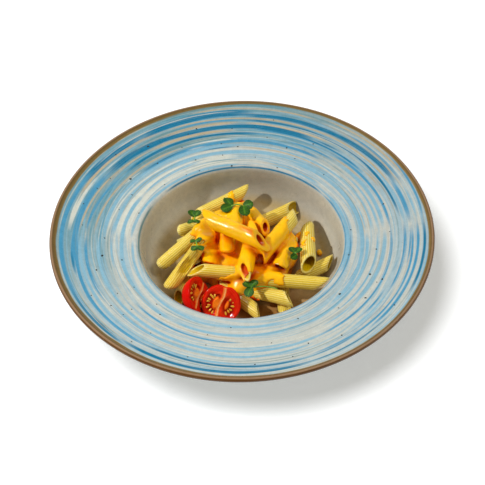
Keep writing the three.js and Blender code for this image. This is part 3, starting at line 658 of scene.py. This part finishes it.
def skin_of(field):
    """The zero surface of a field on a grid. Every grid edge that crosses zero gives a point by linear
    interpolation. Each cell takes the mean of its edges' points as its corner of the mesh, and each crossing
    edge becomes one four-cornered face between the four cells around it."""
    shape = np.array(field.shape)
    cells = int(np.prod(shape))
    total = np.zeros((cells, 3))
    hits = np.zeros(cells)
    found = []
    stride = np.array([shape[1] * shape[2], shape[2], 1])
    for k in range(3):
        a = np.moveaxis(field, k, 0)[:-1]
        b = np.moveaxis(field, k, 0)[1:]
        spots = np.argwhere((a < 0) != (b < 0))
        va, vb = a[tuple(spots.T)], b[tuple(spots.T)]
        order = [k] + [m for m in range(3) if m != k]
        index = np.empty_like(spots)
        index[:, order] = spots
        place = index.astype(float)
        place[:, k] += va / (va - vb)
        u, v = [(k + 1) % 3, (k + 2) % 3]
        keep = (index[:, u] > 0) & (index[:, v] > 0)
        index, place, va = index[keep], place[keep], va[keep]
        base = index @ stride
        around = np.stack([base - stride[u] - stride[v], base - stride[v], base, base - stride[u]], -1)
        for corner in range(4):
            hits += np.bincount(around[:, corner], minlength=cells)
            for m in range(3):
                total[:, m] += np.bincount(around[:, corner], weights=place[:, m], minlength=cells)
        found.append(np.where((va < 0)[:, None], around, around[:, ::-1]))
    faces = np.vstack(found)
    used = np.flatnonzero(hits)
    renumber = np.full(cells, -1)
    renumber[used] = np.arange(len(used))
    return total[used] / hits[used][:, None], renumber[faces]


def relaxed(points, faces, rounds, share=0.5):
    """Smooths a mesh: in each round every point moves a share of the way to the mean of its neighbours."""
    ends = np.vstack([faces[:, [0, 1]], faces[:, [1, 2]], faces[:, [2, 3]], faces[:, [3, 0]]])
    ends = np.vstack([ends, ends[:, ::-1]])
    amount = np.maximum(np.bincount(ends[:, 0], minlength=len(points)), 1)[:, None]
    for _ in range(rounds):
        mean = np.stack([np.bincount(ends[:, 0], weights=points[ends[:, 1], m], minlength=len(points))
                         for m in range(3)], -1) / amount
        points = points + share * (mean - points)
    return points


def look_up(field, points):
    """The field's values at points in mm, blended between the eight grid values around each."""
    place = np.clip((points - LOW) / CELL, 0, np.array(field.shape) - 1.001)
    low = place.astype(int)
    part = place - low
    total = 0
    for corner in range(8):
        pick = np.array([corner & 1, corner >> 1 & 1, corner >> 2 & 1])
        weight = np.prod(np.where(pick, part, 1 - part), axis=1)
        total = total + weight * field[tuple((low + pick).T)]
    return total


def without_crumbs(points, faces, least):
    """Drops loose bits of a mesh with fewer points than least. Each point's label falls to the lowest label
    that it can reach, so every separate bit ends with one label of its own."""
    label = np.arange(len(points))
    moved = True
    while moved:
        lowest = label[faces].min(axis=1)
        lower = label.copy()
        for corner in range(4):
            np.minimum.at(lower, faces[:, corner], lowest)
        lower = lower[lower]
        moved = bool((lower != label).any())
        label = lower
    kept = np.bincount(label, minlength=len(points))[label] >= least
    renumber = np.cumsum(kept) - 1
    return points[kept], renumber[faces[kept[faces[:, 0]]]]


LEAST_POINTS = 100
cell_points, sauce_faces = without_crumbs(*skin_of(sauce), LEAST_POINTS)
sauce_points = relaxed(LOW + CELL * cell_points, sauce_faces, 9)
first_edge = sauce_points[sauce_faces[:, 2]] - sauce_points[sauce_faces[:, 0]]
second_edge = sauce_points[sauce_faces[:, 3]] - sauce_points[sauce_faces[:, 1]]
face_normal = np.cross(first_edge, second_edge)
sauce_normal = np.zeros_like(sauce_points)
for corner in range(4):
    for m in range(3):
        sauce_normal[:, m] += np.bincount(sauce_faces[:, corner], face_normal[:, m], len(sauce_points))
sauce_normal /= np.linalg.norm(sauce_normal, axis=1)[:, None] + 1e-9

# painted shade: deeper orange, then red, in the crevices where the sauce lies in its own shade
everything = np.minimum(sauce, tube_field)
room = np.clip(look_up(everything, sauce_points + 2.6 * sauce_normal) / 2.6, 0, 1)
room = relaxed(np.column_stack([room, room, room]), sauce_faces, 4)[:, :1]
lit_orange, half_shade_orange, shade_red = rgb(1.0, 0.52, 0.003), rgb(0.94, 0.33, 0.001), rgb(0.64, 0.065, 0.001)
sauce_tint = shade_red + (half_shade_orange - shade_red) * step(0.05, 0.55, room) + (lit_orange - half_shade_orange) * step(0.5, 0.95, room)
cheese = make_piece("cheese_sauce", sauce_points, sauce_faces, colour=sauce_tint)

velvet = new_finish(
    "cheese_sauce", [(150, 4, (0.3, (0.97, 0.92, 0.8)), (0.65, (1.02, 1.03, 1.06)), 1.0)],
    gloss=(160, 3, (0.35, 0.16), (0.7, 0.30)), relief=(230, 3, 0.5, 0.0004, 0.35),
    IOR=1.38, Specular_IOR_Level=0.0, Coat_Weight=0.9, Coat_Roughness=0.025,
    Subsurface_Weight=0.15, Subsurface_Scale=0.0008, Subsurface_Radius=(1.0, 0.45, 0.08))
cheese.data.materials.append(velvet)
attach(cheese, "root")
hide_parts("pasta_heap")

# ---------------------------------------------------------------------------
# THE TOMATO HALVES
# Two cherry tomato halves, cut across: thin glossy skin, a firm wall, a pale core across the middle and two
# chambers of wet gel full of seeds. They lean against the front of the heap, cut faces showing.
# Each row: node, middle (mm), direction the cut face looks, turn of the core (degrees).
# ---------------------------------------------------------------------------

TOMATOES = [("tomato_half_front", (-16, -53.5, 21), (-0.05, -0.72, 0.7), -8),
            ("tomato_half_back", (-31.5, -45.5, 21.3), (0.86, -0.22, 0.45), 0)]
TOMATO_R, TOMATO_DEPTH, SPOKES = 14.1, 12.0, 144


def turned(normal, degrees):
    """The three directions of a frame whose third is the normal, turned about it by the given degrees."""
    normal = np.array(normal, float) / np.linalg.norm(normal)
    up = np.array([0.0, 0, 1])
    cross = np.cross(up, normal)
    skew = np.array([[0, -cross[2], cross[1]], [cross[2], 0, -cross[0]], [-cross[1], cross[0], 0]])
    tilt = np.eye(3) + skew + skew @ skew / (1 + up @ normal)
    c, s = math.cos(math.radians(degrees)), math.sin(math.radians(degrees))
    return tilt @ np.array([[c, -s, 0], [s, c, 0], [0, 0, 1.0]])


def patch(x, y, spot, size, tilt=0.0, soft=0.35):
    """1 inside an ellipse with the given middle, radii and tilt, 0 outside, with a soft edge."""
    c, s = math.cos(math.radians(tilt)), math.sin(math.radians(tilt))
    u, v = (x - spot[0]) * c + (y - spot[1]) * s, (y - spot[1]) * c - (x - spot[0]) * s
    return step(1 + soft, 1 - soft, np.hypot(u / size[0], v / size[1]))


def core_line(y):
    """Where the pale core crosses the cut face: from the notch at the top, curving to the lower left."""
    return np.interp(y, [-13, -10.6, -3.2, 0.5, 5, 9.6, 13], [-2.9, -2.8, -2.2, -0.9, 1.3, 1.9, 2.0])


def tomato_half(frame_of, where_to, seed):
    """Polar rows from the middle of the cut face out to the skin's edge, then down the round back to its
    pole. The face sinks by up to 1.6 mm in the seed chambers. The back is a flattened dome."""
    lot = np.random.default_rng(seed)
    spoke = np.arange(SPOKES) / SPOKES * 2 * np.pi
    notch = 1 - 0.11 * np.exp(-((spoke - math.radians(80)) / 0.20) ** 2)
    face_r = np.concatenate([np.linspace(0.3, 12.8, 54), [13.2, 13.6, 13.85, 14.0]])[:, None]
    x, y = face_r * notch * np.cos(spoke), face_r * notch * np.sin(spoke)
    from_core = x - core_line(y)
    left = patch(x, y, (-6.6, -0.4), (4.3, 7.6), -6)
    right_side = patch(x, y, (5.6, -2.4), (4.2, 7.0), 10)
    pocket = patch(x, y, (-2.3, 5.0), (1.7, 1.8))
    gel_share = np.clip(left + right_side + pocket, 0, 1)
    lobe = patch(x, y, (-3.7, 0.4), (2.2, 4.3), -12) + patch(x, y, (4.2, -0.8), (1.2, 3.0), -14)
    lobe = np.clip(lobe, 0, 1)
    core_band = step(1.5, 0.7, np.abs(from_core)) * step(-12.6, -10.5, y) * step(12.9, 11, y)
    gel_share = gel_share * (1 - lobe) * (1 - core_band)
    ripple_face = 0.10 * np.sin(x * 1.1 + 1) * np.sin(y * 0.9) + 0.07 * np.sin(x * 2.9) * np.sin(y * 2.3 + 2)
    face_z = 0.35 * step(0, 1.5, 14 - face_r) - 1.6 * gel_share + 0.25 * lobe + ripple_face
    drop = np.linspace(0.02, 0.985, 22)[:, None] * np.pi / 2
    back_r = TOMATO_R * np.cos(drop) ** 0.92 * (1 + (notch - 1) * np.cos(drop))
    back_z = -TOMATO_DEPTH * np.sin(drop) ** 1.05 * (1 + 0 * spoke)
    rows_x = np.vstack([x, back_r * np.cos(spoke)])
    rows_y = np.vstack([y, back_r * np.sin(spoke)])
    rows_z = np.vstack([face_z, back_z])
    local = np.stack([rows_x, rows_y, rows_z], -1).reshape(-1, 3)
    local = np.vstack([local, [0, 0, face_z[0].mean()], [0, 0, -TOMATO_DEPTH]])
    skin, wall, gel = rgb(0.66, 0.004, 0.001), rgb(0.66, 0.008, 0.001), rgb(0.40, 0.008, 0.001)
    lobe_tone, core_tone, light = rgb(0.86, 0.20, 0.008), rgb(0.90, 0.24, 0.03), rgb(0.95, 0.50, 0.20)
    rings = 0.5 + 0.5 * np.sin(face_r * 5.5 + 1.5 * np.sin(3 * spoke))
    ringed = 0.45 * rings * step(10, 11.5, face_r)
    # painted highlight: a pale line along the core
    core_highlight = 0.8 * step(0.55, 0.1, np.abs(from_core - 0.3)) * core_band
    tint_face = painted(wall + 0 * x[..., None], rgb(0.85, 0.06, 0.008), ringed)
    tint_face = painted(tint_face, rgb(0.80, 0.05, 0.006), 0.7 * step(11, 6, face_r) + 0 * x)
    for tone, share in ((gel, gel_share), (lobe_tone, lobe), (core_tone, core_band), (light, core_highlight)):
        tint_face = painted(tint_face, tone, share)
    tint_face = painted(tint_face, skin, step(13.2, 13.7, face_r) + 0 * x)
    tint_back = np.ones((len(drop), SPOKES, 1)) * skin
    tints = np.vstack([np.vstack([tint_face, tint_back]).reshape(-1, 3), tint_face[0].mean(0), skin])
    # seeds: flat golden drops round each lobe of the core, pointed ends towards it: x, y, heading (degrees)
    places = np.array([
        (-4.7, 5.6, 100), (-7.4, 5.1, 130), (-8.5, 2.9, 150), (-9.6, 0.8, 175), (-8.4, -1.5, 190),
        (-9.6, -3.2, 205), (-7.6, -4.9, 225), (-5.5, -6.2, 245), (-3.7, -6.4, 262), (6.2, 3.6, 60),
        (8.4, 1.8, 35), (8.2, -1.0, 0), (7.0, -3.4, -30), (5.7, -5.2, -50), (3.9, -6.3, -65),
        (2.0, -7.4, -80), (0.3, -6.8, -100), (-6.2, 3.9, 120)], float)
    places[:, :2] += 0.25 * lot.normal(size=(len(places), 2))
    a = np.linspace(0, np.pi, 9)[None, 1:-1, None]
    b = (np.arange(12) / 12 * 2 * np.pi)[None, None, :]
    wide = np.sin(a) * (1 + 0.35 * np.cos(a))
    no_move = 0 * places[:, :1, None]
    bodies = np.stack([1.35 * np.cos(a) + 0 * b + no_move, 0.62 * wide * np.cos(b) + no_move,
                       0.40 * wide * np.sin(b) + no_move], -1).reshape(len(places), -1, 3)
    ends = np.array([[1.35, 0, 0], [-1.35, 0, 0]]) + no_move
    bodies = np.concatenate([bodies, ends], 1)
    aim = np.radians(places[:, 2]) + 0.12 * lot.normal(size=len(places))
    c, s = np.cos(aim)[:, None], np.sin(aim)[:, None]
    size = (0.9 + 0.25 * lot.random(len(places)))[:, None]
    drop_to = -0.85 + 0.2 * lot.random((len(places), 1))
    seeds = np.stack([(bodies[..., 0] * c - bodies[..., 1] * s) * size + places[:, :1],
                      (bodies[..., 0] * s + bodies[..., 1] * c) * size + places[:, 1:2],
                      bodies[..., 2] * size + drop_to], -1).reshape(-1, 3)
    faces, seed_faces = closed_faces(len(rows_x), SPOKES), closed_faces(7, 12, len(places))
    return local @ frame_of.T + where_to, faces, tints, seeds @ frame_of.T + where_to, seed_faces


flesh = new_finish(
    "tomato_flesh", [(420, 4, (0.3, (0.90, 0.80, 0.75)), (0.7, (1.06, 1.1, 1.1)), 1.0)],
    gloss=(500, 2, (0.35, 0.10), (0.7, 0.32)), relief=(900, 3, 0.55, 0.00025, 0.5),
    IOR=1.4, Specular_IOR_Level=0.04, Coat_Weight=0.2, Coat_Roughness=0.05,
    Subsurface_Weight=0.1, Subsurface_Scale=0.001, Subsurface_Radius=(1.0, 0.25, 0.1))
seed_coat = new_finish(
    "tomato_seed", [(500, 3, (0.3, (0.70, 0.30, 0.01)), (0.7, (0.88, 0.52, 0.05)), 1.0)],
    relief=(2500, 2, 0.55, 0.0001, 0.5), tinted=False, Roughness=0.3, Specular_IOR_Level=0.3,
    Coat_Weight=0.5, Coat_Roughness=0.08, Subsurface_Weight=0.1, Subsurface_Scale=0.0006)

for number, (name, spot, look, core_turn) in enumerate(TOMATOES):
    cut_frame = turned(look, core_turn)
    points, faces, tints, seeds, seed_faces = tomato_half(cut_frame, np.array(spot, float), 40 + number)
    half_tomato = make_piece(name + "_flesh", points, *faces, colour=tints)
    half_tomato.data.materials.append(flesh)
    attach(half_tomato, "root")
    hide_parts(name)
    pips = make_piece(name + "_seeds", seeds, *seed_faces)
    pips.data.materials.append(seed_coat)
    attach(pips, "root")

# ---------------------------------------------------------------------------
# THE MICROGREENS
# Five sprigs of young radish cress laid on top: thin notched seed leaves on pale juicy stems.
# Each leaf: foot and tip (mm), width (mm), lean about its length (degrees). Then the stem's points (mm).
# ---------------------------------------------------------------------------

SPRIGS = {
    "microgreen_left": (
        [(-35.4, 25.6, 29.8, -39.4, 31.6, 30.8, 5.6, 10), (-35.4, 25.6, 29.8, -31.8, 31.2, 30.8, 5.6, -8),
         (-36, 21.4, 29.8, -40.8, 19.4, 29.2, 4.2, 12), (-36, 21.4, 30.2, -32.4, 15.4, 33.6, 4.4, -6)],
        [(-35.3, 26.2, 29.6), (-35.6, 23.8, 30), (-36.1, 20.8, 29.6)]),
    "microgreen_top": (
        [(-7.4, 31.8, 34.4, -11.8, 40.2, 34.6, 7, 14), (-7.4, 31.8, 34.4, -15, 26.6, 35, 7, -10),
         (1.6, 30.6, 35.2, 9, 31.8, 36, 7.6, 10), (1.6, 30.6, 35.2, 2.8, 18.2, 37.2, 7.6, -8)],
        [(-8, 31.6, 34.2), (-2.8, 32, 35.4), (2.2, 30.4, 35)]),
    "microgreen_middle": (
        [(-33.9, -5.4, 35.6, -38.2, -4.2, 34.6, 3.8, 8), (-33.9, -5.4, 35.6, -29.4, -4, 36.8, 3.8, -4),
         (-32.9, -10.6, 35.8, -36.9, -13.6, 35, 4.6, 6), (-32.9, -10.6, 35.8, -28.4, -14.6, 36, 4.8, -8)],
        [(-34.1, -4.8, 35.4), (-33.4, -8, 36), (-32.8, -11.2, 35.6)]),
    "microgreen_right": (
        [(38.4, -16.6, 32.6, 35.2, -11.2, 33.2, 5.6, 16), (38.4, -16.6, 32.6, 43, -11.6, 32.6, 5.6, -14),
         (39.6, -18.2, 32.6, 35.4, -23.4, 34, 4.8, -26)],
        [(38, -15.8, 32.2), (38.9, -17.2, 32.8), (40, -18.8, 32.4)]),
    "microgreen_front": (
        [(5.6, -45.8, 29.6, 0.2, -41.4, 30.2, 5.8, 12), (5.6, -45.8, 29.6, 9.8, -40.6, 31.2, 5.8, -12),
         (5.6, -45.8, 29.6, 2.8, -53.6, 28.4, 6.4, 4)],
        [(5, -46.4, 29.4), (10, -45.4, 29.6), (17, -45.4, 29.4), (24.4, -47.4, 29.2)])}
LEAF_ROWS, LEAF_COLUMNS = 20, 17


def leaf_sheet(leaf, lot):
    """One seed leaf as a grid: t runs from its foot to its tip, s from edge to edge. The half-width swells as
    a sine, the tip is notched in the middle, the blade is folded up a little along the midrib and waves."""
    base, end, (width, lean) = np.array(leaf[:3]), np.array(leaf[3:6]), leaf[6:]
    reach = np.linalg.norm(end - base)
    along = (end - base) / reach
    across = np.cross([0, 0, 1.0], along)
    across /= np.linalg.norm(across)
    angle = math.radians(lean)
    across = across * math.cos(angle) + np.cross(along, across) * math.sin(angle)
    up = np.cross(along, across)
    t = np.linspace(0, 1, LEAF_ROWS)[:, None]
    s = np.linspace(-1, 1, LEAF_COLUMNS)[None, :]
    half = width * 0.58 * np.sin(np.pi * (0.05 + 0.90 * t ** 1.15)) ** 0.55
    far = 1.03 * t * (1 - (0.07 * np.exp(-(s / 0.30) ** 2) + 0.05 * np.abs(s) ** 2.2) * t ** 2)
    wave = 0.22 * np.sin(5 * t + 3 * s + lot.random() * 6)
    rise = 0.35 * np.abs(s) ** 1.2 + wave - 0.9 * (t - 0.45) ** 2 + 0.2
    points = base + along * (far * reach)[..., None] + across * (half * s)[..., None] + up * rise[..., None]
    rib = np.exp(-(s / 0.10) ** 2) * step(1.0, 0.75, t)
    branch = np.exp(-((np.abs(s) * 1.5 - (t * 4.2) % 1.0) / 0.16) ** 2) * 0.35
    pale = np.clip(rib + branch + 0.25 * step(0.25, 0.0, t), 0, 1)
    return points.reshape(-1, 3), pale.reshape(-1)


def tube_along(route, thickness, sides=10):
    """A round stem: rings of points carried along a smooth curve, closed at both ends by a narrowing ring."""
    path = curve_through(route, 0.45)
    ahead = np.gradient(path, axis=0)
    ahead /= np.linalg.norm(ahead, axis=1)[:, None]
    right = np.cross(ahead, [0, 0, 1.0])
    right /= np.linalg.norm(right, axis=1)[:, None]
    top = np.cross(right, ahead)
    part = np.linspace(0, 1, len(path))
    girth = thickness * (1 - 0.25 * part) * np.where((part < 0.001) | (part > 0.999), 0.15, 1)
    spoke = np.arange(sides) / sides * 2 * np.pi
    round_it = right[:, None] * np.cos(spoke)[:, None] + top[:, None] * np.sin(spoke)[:, None]
    rings = path[:, None] + girth[:, None, None] * round_it
    ends = [np.arange(sides)[::-1][None], (len(path) - 1) * sides + np.arange(sides)[None]]
    return rings.reshape(-1, 3), grid_faces(len(path), sides), ends


leaf_green, leaf_pale = rgb(0.020, 0.085, 0.004), rgb(0.10, 0.26, 0.012)
blade = new_finish(
    "cress_leaf", [(500, 4, (0.3, (0.7, 0.76, 0.6)), (0.7, (1.2, 1.15, 1.1)), 1.0)],
    relief=(1100, 3, 0.55, 0.0002, 0.7),
    Roughness=0.42, Specular_IOR_Level=0.3, Subsurface_Weight=0.15, Subsurface_Scale=0.0006)
stalk = new_finish(
    "cress_stem", [(400, 3, (0.3, linear("66911f")), (0.7, linear("8fb440")), 1.0)],
    relief=(1500, 2, 0.55, 0.0001, 0.5), tinted=False,
    Roughness=0.35, Subsurface_Weight=0.3, Subsurface_Scale=0.0008)

for number, (name, (leaves, route)) in enumerate(SPRIGS.items()):
    lot = np.random.default_rng(70 + number)
    sheets = [leaf_sheet(leaf, lot) for leaf in leaves]
    leaf_points = np.vstack([points for points, pale in sheets])
    leaf_tint = painted(leaf_green, leaf_pale, np.concatenate([pale for points, pale in sheets]))
    one_leaf = grid_faces(LEAF_ROWS, LEAF_COLUMNS, wrap=False)
    leaf_faces = np.vstack([one_leaf + LEAF_ROWS * LEAF_COLUMNS * k for k in range(len(leaves))])
    greens = make_piece(name + "_leaves", leaf_points, leaf_faces, colour=leaf_tint)
    thicken = greens.modifiers.new("blade_thickness", "SOLIDIFY")
    thicken.thickness = 0.00035
    thicken.offset = 0
    greens.data.materials.append(blade)
    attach(greens, "root")
    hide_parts(name)
    rings, ring_faces, ends = tube_along(route, 0.55)
    stem = make_piece(name + "_stem", rings, ring_faces, *ends)
    stem.data.materials.append(stalk)
    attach(stem, "root")

# ---------------------------------------------------------------------------
# THE STUDIO
# A plain white table, even pale surroundings, a hard key lamp from the left with softer ones round it, and
# the camera.
# ---------------------------------------------------------------------------

TABLE_HALF = 20000.0
table_points = TABLE_HALF * np.array([(-1, -1, 0), (1, -1, 0), (1, 1, 0), (-1, 1, 0)])
table = make_piece("table_top", table_points, np.array([[0, 1, 2, 3]]))
tabletop = new_finish("white_table", [(60, 4, (0.3, (0.90, 0.92, 0.95)), (0.7, (0.93, 0.95, 0.98)), 1.0)],
                      tinted=False, Roughness=0.6, Emission_Color=(1, 1, 1, 1), Emission_Strength=0.31)
table.data.materials.append(tabletop)

LAMP_AWAY = 1.7


def placed(spot, right, up, back):
    """The matrix of an object at spot (m), whose own axes point right, up and back."""
    turned_to = Matrix(np.column_stack([right, up, back]).tolist()).to_4x4()
    return Matrix.Translation(spot.tolist()) @ turned_to


def softbox(name, azimuth, elevation, size, power, colour):
    """An oval lamp, LAMP_AWAY metres off in the given direction, facing the plate. The size is its length,
    its breadth (m) and the angle by which its length is turned up from level (degrees)."""
    lamp = bpy.data.lights.new(name, "AREA")
    lamp.shape = "ELLIPSE"
    lamp.size, lamp.size_y = size[0], size[1]
    lamp.energy = power
    lamp.color = colour
    a, e, twist = math.radians(azimuth), math.radians(elevation), math.radians(size[2])
    back = np.array([math.cos(a) * math.cos(e), math.sin(a) * math.cos(e), math.sin(e)])
    across = np.array([-math.sin(a), math.cos(a), 0])
    across = across * math.cos(twist) + np.cross(back, across) * math.sin(twist)
    hung = bpy.data.objects.new(name, lamp)
    spot = back * LAMP_AWAY + np.array([0, 0, 0.03])
    hung.matrix_world = placed(spot, across, np.cross(back, across), back)
    bpy.context.collection.objects.link(hung)
    return hung


# The key, the fill and the window light the plate and the food. Two lamps only put glints on what is wet,
# and add no light or shadow. A large soft lamp of its own lights the table.
plate_set = bpy.data.collections.new("lit_plate")
food_set = bpy.data.collections.new("lit_food")
table_set = bpy.data.collections.new("lit_table")
table_set.objects.link(table)
for piece in list(bpy.context.scene.objects):
    if piece.type == "MESH" and piece is not table:
        (plate_set if piece in (plate, specks) else food_set).objects.link(piece)
subject_set = bpy.data.collections.new("lit_subject")
subject_set.children.link(plate_set)
subject_set.children.link(food_set)
white = (1.0, 1.0, 1.0)
for name, azimuth, elevation, size, power, colour, receivers, shades, shines in (
        ("key", 186, 42, (0.085, 0.085, 0), 24, (0.98, 1.0, 1.05), subject_set, True, False),
        ("fill", 75, 62, (0.9, 0.9, 0), 5, white, subject_set, True, False),
        ("window", 5, 50, (0.6, 0.6, 0), 9, white, subject_set, True, False),
        ("glint", 184, 45, (1.0, 0.035, 44), 36, white, food_set, False, True),
        ("sheen", 120, 60, (0.4, 0.4, 0), 2.5, white, food_set, False, True),
        ("table_lamp", 208, 66, (0.9, 0.9, 0), 29, white, table_set, True, False)):
    lamp = softbox(name, azimuth, elevation, size, power, colour)
    lamp.light_linking.receiver_collection = receivers
    lamp.visible_diffuse = shades
    lamp.visible_glossy = shines

world = bpy.data.worlds.new("studio")
world.use_nodes = True
world.node_tree.nodes["Background"].inputs["Color"].default_value = (1.0, 0.93, 0.76, 1)
world.node_tree.nodes["Background"].inputs["Strength"].default_value = 0.26
bpy.context.scene.world = world
bpy.context.scene.view_settings.view_transform = "Standard"

TARGET, DISTANCE = np.array([0.3, -0.1, 27.5]), 800.0
ELEVATION, ROLL = math.radians(47.13), math.radians(-1.37)
# the focal length as a multiple of the sensor's width
FOCAL = 1075.6 / 485
forward = np.array([0, math.cos(ELEVATION), -math.sin(ELEVATION)])
level = np.array([1.0, 0, 0])
upward = np.cross(level, forward)
right = level * math.cos(ROLL) + upward * math.sin(ROLL)
top = upward * math.cos(ROLL) - level * math.sin(ROLL)
lens = bpy.data.cameras.new("camera")
lens.sensor_width = 36
lens.lens = lens.sensor_width * FOCAL
camera = bpy.data.objects.new("camera", lens)
camera.matrix_world = placed((TARGET - forward * DISTANCE) * 0.001, right, top, -forward)
bpy.context.collection.objects.link(camera)
bpy.context.scene.camera = camera
